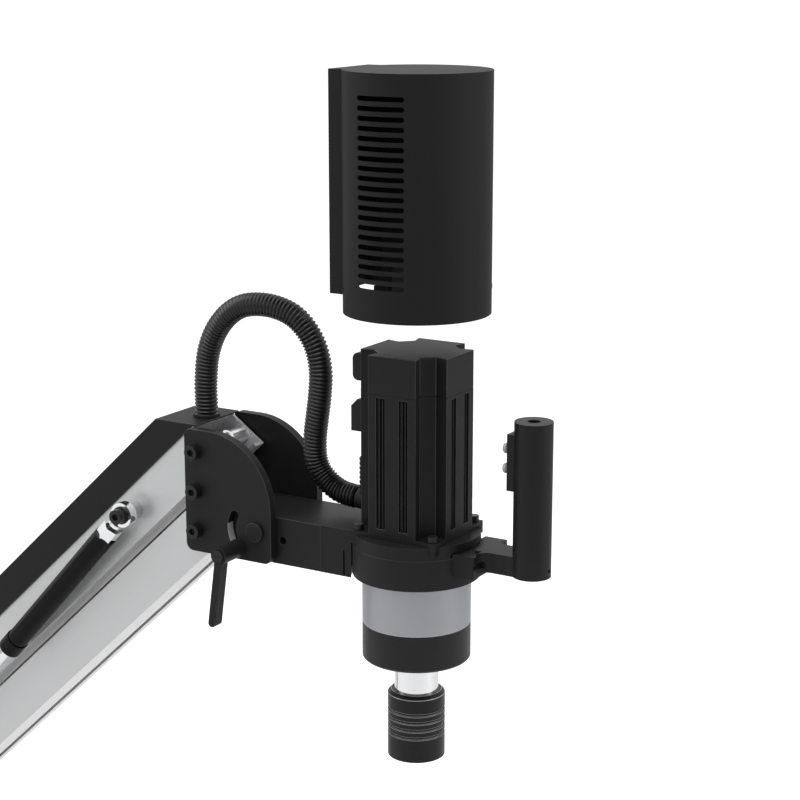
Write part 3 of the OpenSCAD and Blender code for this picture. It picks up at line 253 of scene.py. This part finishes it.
def settled(piece):
    """Applies the piece's modifiers to its mesh."""
    graph = bpy.context.evaluated_depsgraph_get()
    mesh = bpy.data.meshes.new_from_object(piece.evaluated_get(graph))
    piece.modifiers.clear()
    piece.data = mesh
    return piece


# Lighter finish of the rounded edges, a painted highlight, for each finish that has its own
EDGE_HIGHLIGHT = {"beam": "beam_edge_painted_highlight", "cover": "sheet_edge_painted_highlight", "turned_grey": "beam_edge_painted_highlight", "chuck": "chuck_edge_painted_highlight",
               "anodised": "black_edge_painted_highlight", "plate": "black_edge_painted_highlight", "motor": "black_edge_painted_highlight", "sheet": "black_edge_painted_highlight",
               "turned_black": "black_edge_painted_highlight"}


def bevelled(node, finish, width):
    """A piece with the node's own shape, its edges rounded by width in millimetres."""
    mesh = tidied(nodes[node].data.copy())
    piece = add_object(node + "_shell", mesh, BODY_OF[node], finish, (node,))
    # The rounded edges of these finishes get a lighter material: a painted highlight
    if finish in EDGE_HIGHLIGHT:
        piece.data.materials.append(paint[EDGE_HIGHLIGHT[finish]])
    bevel = piece.modifiers.new("round", "BEVEL")
    bevel.material = 1 if finish in EDGE_HIGHLIGHT else -1
    bevel.width = width * MM
    bevel.segments = 2
    bevel.limit_method = "ANGLE"
    bevel.angle_limit = math.radians(BEVEL_ANGLE)
    bevel.use_clamp_overlap = True
    bevel.harden_normals = False
    settled(piece)
    smooth_by_angle(piece.data)
    flat = piece.modifiers.new("flat_faces", "WEIGHTED_NORMAL")
    flat.keep_sharp = True
    flat.weight = 100
    return settled(piece)


def true_round(piece, axis_x, *radii):
    """Shades the piece's upright round faces of these radii, in millimetres, as true cylinders."""
    mesh = piece.data
    normals = [corner.vector.copy() for corner in mesh.corner_normals]
    for face in mesh.polygons:
        spokes = [mesh.vertices[v].co / MM - Vector((axis_x, 0, 0)) for v in face.vertices]
        for spoke in spokes:
            spoke.z = 0
        if any(all(abs(spoke.length - r) < ROUND_FIT for spoke in spokes) for r in radii):
            outward = math.copysign(1, face.normal.dot(spokes[0]))
            for loop, spoke in zip(face.loop_indices, spokes):
                normals[loop] = outward * spoke.normalized()
    mesh.normals_split_custom_set(normals)


def repaint(piece, finish, chosen):
    """Gives another finish to the faces chosen by their middle, in millimetres, and their normal."""
    piece.data.materials.append(paint[finish])
    last = len(piece.data.materials) - 1
    for face in piece.data.polygons:
        if chosen(face.center / MM, face.normal):
            face.material_index = last


def box_of(node):
    """The node's lowest and highest corner, in millimetres."""
    corners = [nodes[node].matrix_world @ Vector(c) / MM for c in nodes[node].bound_box]
    return [Vector(pick(c[k] for c in corners) for k in range(3)) for pick in (min, max)]


BODY_OF = {node: body for body, held in frame["record"]["behaviour"]["bodies"].items() for node in held}

# Conduit: one ribbed wall swept along its route and cut at the top of its arch
ROUTE = [(-17, 0, 20.5), (-17, 0, 35), (-17, 0, 50), (-14, 0, 75), (-6, 0, 95), (6.4, 0, 110.5),
         (21.5, 0, 120.4), (39, 0, 124), (57, 1, 123), (74, 2, 117), (87, 3, 105), (95, 4, 90), (98, 5, 72),
         (96.5, 6, 53), (93, 7, 32), (90, 8, 14.5), (89.5, 9, -2.6), (93.5, 10, -15), (102, 11, -24.7),
         (112, 11, -30.4), (122, 11, -32.4), (132, 11, -33.4)]
HOSE_R = 10.2
RIB_DEPTH = 1.4
RIB_PITCH = 3.3
HOSE_SIDES = 28
HOSE_WALL = 1
ROUTE_PARTS = 8
BORE_STEP = 4
HOSE_SHARP = 50
ARCH_TOP = ROUTE[7]
HOSE_END_DIR = (10, 0, -1)


def smooth_route(points, parts):
    pts = [Vector(p) for p in points]
    line = []
    for i in range(len(pts) - 1):
        p1, p2 = pts[i], pts[i + 1]
        p0 = pts[i - 1] if i else 2 * pts[0] - pts[1]
        p3 = pts[i + 2] if i < len(pts) - 2 else 2 * pts[-1] - pts[-2]
        for k in range(parts):
            s = k / parts
            line.append(0.5 * (2 * p1 + (p2 - p0) * s + (2 * p0 - 5 * p1 + 4 * p2 - p3) * s * s
                               + (3 * p1 - p0 - 3 * p2 + p3) * s * s * s))
    return line + [pts[-1]]


def walk(line, step):
    """Points every step along the line, with the direction there."""
    dist = [0.0]
    for a, b in zip(line, line[1:]):
        dist.append(dist[-1] + (b - a).length)
    count = round(dist[-1] / step)
    places = []
    i = 0
    for n in range(count + 1):
        d = dist[-1] * n / count
        while i < len(line) - 2 and dist[i + 1] < d:
            i += 1
        s = (d - dist[i]) / (dist[i + 1] - dist[i])
        places.append(line[i].lerp(line[i + 1], s))
    return places


def swept(places, radii, origin, start_dir=None, end_dir=None, sides=HOSE_SIDES, inner=None):
    """A tube mesh through the places, of a radius at each, with a bore of radius inner."""
    rings = []
    for i, p in enumerate(places):
        a = places[max(i - 1, 0)]
        b = places[min(i + 1, len(places) - 1)]
        ahead = (b - a).normalized()
        if i == 0 and start_dir:
            ahead = Vector(start_dir).normalized()
        if i == len(places) - 1 and end_dir:
            ahead = Vector(end_dir).normalized()
        side = ahead.cross(Vector((0, 1, 0)).cross(ahead)).normalized()
        up = ahead.cross(side)
        rings.append((p, side, up))
    work = bmesh.new()

    def ring(item, r):
        p, side, up = item
        return [work.verts.new((origin + p + r * (side * math.cos(t) + up * math.sin(t))) * MM)
                for t in (2 * math.pi * k / sides for k in range(sides))]

    outer = [ring(item, r) for item, r in zip(rings, radii)]
    last_ring = [rings[-1]] if (len(rings) - 1) % BORE_STEP else []
    inside = [ring(item, inner) for item in rings[::BORE_STEP] + last_ring]
    for a, b in zip(outer, outer[1:]):
        for k in range(sides):
            j = (k + 1) % sides
            work.faces.new((a[k], b[k], b[j], a[j]))
    for a, b in zip(inside, inside[1:]):
        for k in range(sides):
            j = (k + 1) % sides
            work.faces.new((a[k], a[j], b[j], b[k]))
    for first, second in ((inside[0], outer[0]), (outer[-1], inside[-1])):
        for k in range(sides):
            j = (k + 1) % sides
            work.faces.new((first[k], second[k], second[j], first[j]))
    bmesh.ops.recalc_face_normals(work, faces=work.faces)
    mesh = bpy.data.meshes.new("tube")
    work.to_mesh(mesh)
    work.free()
    return mesh


RIB_RINGS = 6
RIB_SHAPE = (0.0, 0.3, 0.85, 1.0, 0.85, 0.3)
hose_places = walk(smooth_route(ROUTE, ROUTE_PARTS), RIB_PITCH / RIB_RINGS)
hose_places = hose_places[:len(hose_places) // RIB_RINGS * RIB_RINGS + 1]
hose_radii = [HOSE_R - RIB_DEPTH + RIB_DEPTH * RIB_SHAPE[i % RIB_RINGS] for i in range(len(hose_places))]
hose_origin = Vector((BRACKET[0], 0, BRACKET[1]))
arch = min(range(0, len(hose_places), RIB_RINGS), key=lambda i: (hose_places[i] - Vector(ARCH_TOP)).length)


def conduit_piece(name, first, last, start_dir, end_dir):
    places = hose_places[first:last + 1]
    mesh = swept(places, hose_radii[first:last + 1], hose_origin, start_dir, end_dir,
                 inner=HOSE_R - RIB_DEPTH - HOSE_WALL)
    smooth_by_angle(mesh, HOSE_SHARP)
    piece = bpy.data.objects.new(name, mesh)
    bpy.context.scene.collection.objects.link(piece)
    piece.data.materials.append(paint["conduit"])
    return piece, [list((hose_origin + p) * MM) for p in places]


arch_dir = hose_places[arch + 1] - hose_places[arch - 1]
low_hose, low_path = conduit_piece("conduit_rise", 0, arch, (0, 0, 1), arch_dir)
high_hose, high_path = conduit_piece("conduit_fall", arch, len(hose_places) - 1, arch_dir, HOSE_END_DIR)
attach(low_hose, "upper_arm")
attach(high_hose, "head")
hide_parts("conduit")
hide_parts("conduit")
low_hose.parent = None
high_hose.parent = None
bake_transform(low_hose)
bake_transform(high_hose)

# Every node of the CAD model that shows, with the width of its rounded edges
SHELLS = {
    "column_sleeve": ("casting", 1.5), "clamp_screws": ("screw", 0.5), "thrust_washer": ("bronze", 0.3),
    "swivel_yoke": ("casting", 1.2), "swing_spindle": ("steel", 0.5), "yoke_bolts": ("screw", 0.5),
    "gas_lower_stud": ("satin", 0.5), "upper_beam": ("beam", 0.35), "beam_cover": ("sheet", 0.45),
    "gas_upper_stud": ("satin", 0.5), "conduit_gland": ("plastic", 0.3), "lower_beam": ("beam", 0.35),
    "upper_bushes": ("satin", 0.2), "lower_bushes": ("satin", 0.2),
    "gas_cylinder": ("gas", 0.3), "gas_cylinder_cap": ("gas", 0.3), "gas_cylinder_eye": ("chrome", 0.9),
    "gas_rod": ("chrome", 0.2), "gas_rod_eye": ("chrome", 0.9), "near_plate": ("plate", 0.5),
    "far_plate": ("plate", 0.5), "plate_bolts": ("screw", 0.5), "spacer_tube": ("steel", 0.2),
    "tilt_pin": ("plate", 0.4), "tilt_bar": ("anodised", 0.5), "lever_stud": ("steel", 0.3),
    "lock_lever": ("anodised", 0.5), "lever_screw": ("screw", 0.3), "head_holder": ("anodised", 0.5),
    "motor_flange": ("motor", 0.5), "flange_screws": ("screw", 0.4), "motor_body": ("motor", 0.35),
    "motor_rear_cover": ("motor", 0.5), "connector_upper": ("plastic", 0.6),
    "connector_lower": ("plastic", 0.6), "conduit_elbow": ("plastic", 0.5),
    "gearbox_housing": ("turned_grey", 0.3), "gearbox_base": ("turned_black", 0.4),
    "spindle": ("chrome", 0.3), "chuck_body": ("steel", 0.3), "chuck_sleeve": ("chuck", 0.35),
    "handle_ring": ("anodised", 0.4), "handle_arm": ("anodised", 0.5), "handle_clamp_screw": ("screw", 0.2),
    "handle_grip": ("grip", 0.8), "button_plate": ("plastic", 0.4), "button_up": ("satin", 0.1),
    "button_down": ("satin", 0.1), "motor_cover": ("cover", 0.45), "cover_screws": ("screw", 0.3),
}
shells = {node: bevelled(node, finish, width) for node, (finish, width) in SHELLS.items()}

# Reach past a hollow's walls within which a face still counts as inside
NEAR = 0.1


def along_arm(n):
    """How far a direction points up along the arm."""
    turn = math.radians(ARM_ANGLE)
    return n.x * math.cos(turn) + n.z * math.sin(turn)


def above_arm(n):
    """How far a direction points up across the arm."""
    turn = math.radians(ARM_ANGLE)
    return n.z * math.cos(turn) - n.x * math.sin(turn)


def across_arm(p):
    """Height of a place over the line through the upper pivots, across the arm."""
    return above_arm(p - Vector((BRACKET[0], 0, BRACKET[1])))


def in_hollow(p, n):
    half_w = BEAM_W / 2 - BEAM_WALL + NEAR
    half_h = BEAM_H / 2 - BEAM_WALL + NEAR
    return abs(p.y) < half_w and abs(across_arm(p) - BEAM_RISE) < half_h


def from_eye(p):
    return math.hypot(p.x - GAS_TOP[0], p.z - GAS_TOP[1])


# Radii of the upright round faces, from the head's axis or the grip's
ROUND_FACES = {"motor_cover": (59.5, 58), "gearbox_housing": (45,), "gearbox_base": (45,),
               "handle_ring": (53,), "head_holder": (53,), "chuck_sleeve": (24, 22.5), "spindle": (18.5,)}
GRIP_X = 106
GRIP_R = 15.5
GRIP_BORE_R = 5.2
COLUMN_SLEEVE_R = 36
for node, radii in ROUND_FACES.items():
    true_round(shells[node], HEAD[0], *radii)
true_round(shells["handle_grip"], HEAD[0] + GRIP_X, GRIP_R, GRIP_BORE_R)
true_round(shells["handle_arm"], HEAD[0] + GRIP_X, GRIP_R)
true_round(shells["column_sleeve"], 0, COLUMN_SLEEVE_R)

# Faces of a shell that have another finish than the rest; the beams' undersides, end faces and insides and
# the plate's curved slot get painted light
TILT_PIN = (420.461, 491.553)
CURVED_REACH = (18, 29.5)
CURVED_ANGLES = (172, 250)
MOTOR_TOP = 197
MOTOR_SEAM = HEAD[1] + MOTOR_TOP
SEAM_LIP = 0.7
FACING = 0.7
WALL_FACING = 0.5
STEM_FROM = GAS_EYE_R + 3.7
STEM_TO = GAS_NECK - 13.7
STUD_HEAD_Y = -50


def in_curved_slot(p, n):
    out = math.hypot(p.x - TILT_PIN[0], p.z - TILT_PIN[1])
    angle = math.degrees(math.atan2(p.z - TILT_PIN[1], p.x - TILT_PIN[0])) % 360
    in_reach = CURVED_REACH[0] < out < CURVED_REACH[1]
    return abs(n.y) < WALL_FACING and in_reach and CURVED_ANGLES[0] < angle < CURVED_ANGLES[1]


def at_motor_seam(p, n):
    return abs(p.z - MOTOR_SEAM) < SEAM_LIP


for beam in ("upper_beam", "lower_beam"):
    # Painted light: the beams' downward faces in a brighter copy of their metal
    repaint(shells[beam], "beam_low_painted_light", lambda p, n: above_arm(n) < -FACING)
    # Painted highlight: the beams' end faces in bright mirror metal
    repaint(shells[beam], "beam_end_painted_highlight", lambda p, n: along_arm(n) > FACING)
# Painted light: the upper beam's inside walls painted brighter than its outside
repaint(shells["upper_beam"], "hollow_painted_light", in_hollow)
# Painted highlight: the walls of the near plate's curved slot in bright metal
repaint(shells["near_plate"], "beam_edge_painted_highlight", in_curved_slot)
for part in ("motor_body", "motor_rear_cover"):
    repaint(shells[part], "motor", at_motor_seam)
repaint(shells["gas_upper_stud"], "screw", lambda p, n: p.y < STUD_HEAD_Y)
repaint(shells["gas_lower_stud"], "screw", lambda p, n: p.y < STUD_HEAD_Y)
repaint(shells["gas_cylinder_eye"], "screw", lambda p, n: STEM_FROM < from_eye(p) < STEM_TO)

# Domed heads of the two buttons
DOME_RISE = 2.6
DOME_SHARE = 0.94
DOME_SIDES = 32
DOME_RINGS = 16
for node in ("button_up", "button_down"):
    low, high = box_of(node)
    dome_r = DOME_SHARE * (high.z - low.z) / 2
    work = bmesh.new()
    bmesh.ops.create_uvsphere(work, u_segments=DOME_SIDES, v_segments=DOME_RINGS, radius=1)
    bmesh.ops.scale(work, vec=(DOME_RISE, dome_r, dome_r), verts=work.verts)
    bmesh.ops.translate(work, vec=(low.x, (low.y + high.y) / 2, (low.z + high.z) / 2), verts=work.verts)
    bmesh.ops.scale(work, vec=(MM, MM, MM), verts=work.verts)
    mesh = bpy.data.meshes.new(node + "_dome")
    work.to_mesh(mesh)
    work.free()
    smooth_by_angle(mesh, ROUND_SHARP)
    add_object(node + "_dome", mesh, BODY_OF[node], "dome")

# Two thin ribs on the floor of each cooling slot of the motor
HALF_MOTOR = 40
SLOT_AT = 10.5
SLOT_DEPTH = 3
SLOT_LOW = 86.4
SLOT_END = 2.5
SLOT_TOP = MOTOR_TOP - SLOT_END
RIB_HALF = 0.55
RIB_OFF = 1.5
RIB_UNDER_FACE = 1.1
RIB_IN = 0.2

# Corner numbers of a box's six faces, in the order that box_corners gives
BOX_FACES = ((0, 1, 3, 2), (4, 6, 7, 5), (0, 4, 5, 1), (2, 3, 7, 6), (0, 2, 6, 4), (1, 5, 7, 3))


def box_corners(low, high):
    return [(x, y, z) for x in (low[0], high[0]) for y in (low[1], high[1]) for z in (low[2], high[2])]


def slot_ribs():
    work = bmesh.new()
    for quarter in range(4):
        turn = Matrix.Rotation(math.radians(90 * quarter), 4, "Z")
        for middle in (-SLOT_AT - RIB_OFF, -SLOT_AT + RIB_OFF, SLOT_AT - RIB_OFF, SLOT_AT + RIB_OFF):
            low = (middle - RIB_HALF, -HALF_MOTOR + RIB_UNDER_FACE, SLOT_LOW + RIB_HALF)
            high = (middle + RIB_HALF, -HALF_MOTOR + SLOT_DEPTH + RIB_IN, SLOT_TOP - RIB_HALF)
            corners = [work.verts.new(turn @ Vector(p)) for p in box_corners(low, high)]
            for a, b, c, d in BOX_FACES:
                work.faces.new((corners[a], corners[b], corners[c], corners[d]))
    bmesh.ops.recalc_face_normals(work, faces=work.faces)
    bmesh.ops.transform(work, matrix=Matrix.Translation((HEAD[0], 0, HEAD[1])), verts=work.verts)
    bmesh.ops.scale(work, vec=(MM, MM, MM), verts=work.verts)
    mesh = bpy.data.meshes.new("slot_ribs")
    work.to_mesh(mesh)
    work.free()
    return mesh


add_object("slot_ribs", slot_ribs(), "head", "motor")

# Nodes inside the machine keep their own meshes
INNER = {"swing_bush": "bronze", "seam_screws": "screw", "motor_stator": "copper", "motor_rotor": "steel",
         "ring_gear": "steel", "planet_gears": "steel", "spindle_bearing": "steel", "chuck_balls": "chrome"}
for node, finish in INNER.items():
    mesh = nodes[node].data
    mesh.materials.clear()
    mesh.materials.append(paint[finish])

# The chuck's spring: a coil in the place of its plain tube
SPRING_WIRE_R = 0.55
SPRING_TURNS = 6
SPRING_STEPS = 28
SPRING_SIDES = 8


def spring_coil(centre, coil_r, low, high):
    count = SPRING_TURNS * SPRING_STEPS
    work = bmesh.new()
    rings = []
    for i in range(count + 1):
        turn = 2 * math.pi * i / SPRING_STEPS
        out = Vector((math.cos(turn), math.sin(turn), 0))
        place = centre + out * coil_r + Vector((0, 0, low + (high - low) * i / count))
        around = [2 * math.pi * k / SPRING_SIDES for k in range(SPRING_SIDES)]
        wire = [SPRING_WIRE_R * (out * math.cos(t) + Vector((0, 0, math.sin(t)))) for t in around]
        rings.append([work.verts.new((place + offset) * MM) for offset in wire])
    for a, b in zip(rings, rings[1:]):
        for k in range(SPRING_SIDES):
            j = (k + 1) % SPRING_SIDES
            work.faces.new((a[k], b[k], b[j], a[j]))
    work.faces.new(rings[0])
    work.faces.new(rings[-1])
    bmesh.ops.recalc_face_normals(work, faces=work.faces)
    mesh = bpy.data.meshes.new("spring_coil")
    work.to_mesh(mesh)
    work.free()
    smooth_by_angle(mesh, ROUND_SHARP)
    return mesh


low, high = box_of("chuck_spring")
mesh = spring_coil(Vector((HEAD[0], 0, 0)), (high.y - low.y) / 2 - SPRING_WIRE_R, low.z + SPRING_WIRE_R,
                   high.z - SPRING_WIRE_R)
coil = add_object("spring_coil", mesh, BODY_OF["chuck_spring"], "steel", ("chuck_spring",))
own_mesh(coil)

# Floor, backdrop colour and light
FLOOR_HALF = 45
FLOOR_AT = (0.3, 0, -0.002)
FLOOR_GLOW = 0.57
WORLD_STRENGTH = 0.55
floor_mesh = bpy.data.meshes.new("floor")
floor_corners = [(x * FLOOR_HALF, y * FLOOR_HALF, 0) for x, y in ((-1, -1), (1, -1), (1, 1), (-1, 1))]
floor_mesh.from_pydata(floor_corners, [], [(0, 1, 2, 3)])
floor = bpy.data.objects.new("floor", floor_mesh)
floor.location = FLOOR_AT
bpy.context.scene.collection.objects.link(floor)
floor_look = bpy.data.materials.new("pale_floor")
floor_look.use_nodes = True
tree = floor_look.node_tree
shader = tree.nodes["Principled BSDF"]
shader.inputs["Base Color"].default_value = (0.82, 0.82, 0.82, 1)
shader.inputs["Roughness"].default_value = 0.7
path = add_node(tree, "ShaderNodeLightPath")
glow = add_node(tree, "ShaderNodeEmission")
glow.inputs["Color"].default_value = (1, 1, 1, 1)
glow.inputs["Strength"].default_value = FLOOR_GLOW
add = add_node(tree, "ShaderNodeAddShader")
blend = add_node(tree, "ShaderNodeMixShader")
tree.links.new(path.outputs["Is Camera Ray"], blend.inputs[0])
tree.links.new(shader.outputs[0], blend.inputs[1])
tree.links.new(shader.outputs[0], add.inputs[0])
tree.links.new(glow.outputs[0], add.inputs[1])
tree.links.new(add.outputs[0], blend.inputs[2])
tree.links.new(blend.outputs[0], tree.nodes["Material Output"].inputs["Surface"])
floor.data.materials.append(floor_look)

world = bpy.data.worlds.new("studio")
bpy.context.scene.world = world
world.use_nodes = True
tree = world.node_tree
back = tree.nodes["Background"]
back.inputs["Color"].default_value = (1, 1, 1, 1)
back.inputs["Strength"].default_value = WORLD_STRENGTH
white = add_node(tree, "ShaderNodeBackground")
white.inputs["Color"].default_value = (1, 1, 1, 1)
white.inputs["Strength"].default_value = 1.0
path = add_node(tree, "ShaderNodeLightPath")
mix = add_node(tree, "ShaderNodeMixShader")
seen = add_node(tree, "ShaderNodeMath", operation="MAXIMUM")
tree.links.new(path.outputs["Is Camera Ray"], seen.inputs[0])
tree.links.new(path.outputs["Is Glossy Ray"], seen.inputs[1])
tree.links.new(seen.outputs[0], mix.inputs[0])
tree.links.new(back.outputs[0], mix.inputs[1])
tree.links.new(white.outputs[0], mix.inputs[2])
tree.links.new(mix.outputs[0], tree.nodes["World Output"].inputs["Surface"])


def softbox(name, place, target, width, height, power):
    data = bpy.data.lights.new(name, "AREA")
    data.shape = "RECTANGLE"
    data.size = width
    data.size_y = height
    data.energy = power
    lamp = bpy.data.objects.new(name, data)
    lamp.location = place
    lamp.rotation_euler = (Vector(target) - Vector(place)).to_track_quat("-Z", "Y").to_euler()
    bpy.context.scene.collection.objects.link(lamp)


# Place, width, height and power of each light, all turned to the machine's middle
MIDDLE = (0.45, 0, 0.55)
LIGHTS = {"top_light": ((0.3, -0.5, 2.6), 1.8, 1.8, 34), "left_light": ((-1.6, -1.6, 1.5), 1.2, 1.6, 16),
          "right_light": ((2.3, 0.5, 1.2), 0.8, 1.6, 12)}
for name, (place, width, height, power) in LIGHTS.items():
    softbox(name, place, MIDDLE, width, height, power)

bpy.context.scene.view_settings.view_transform = "Standard"
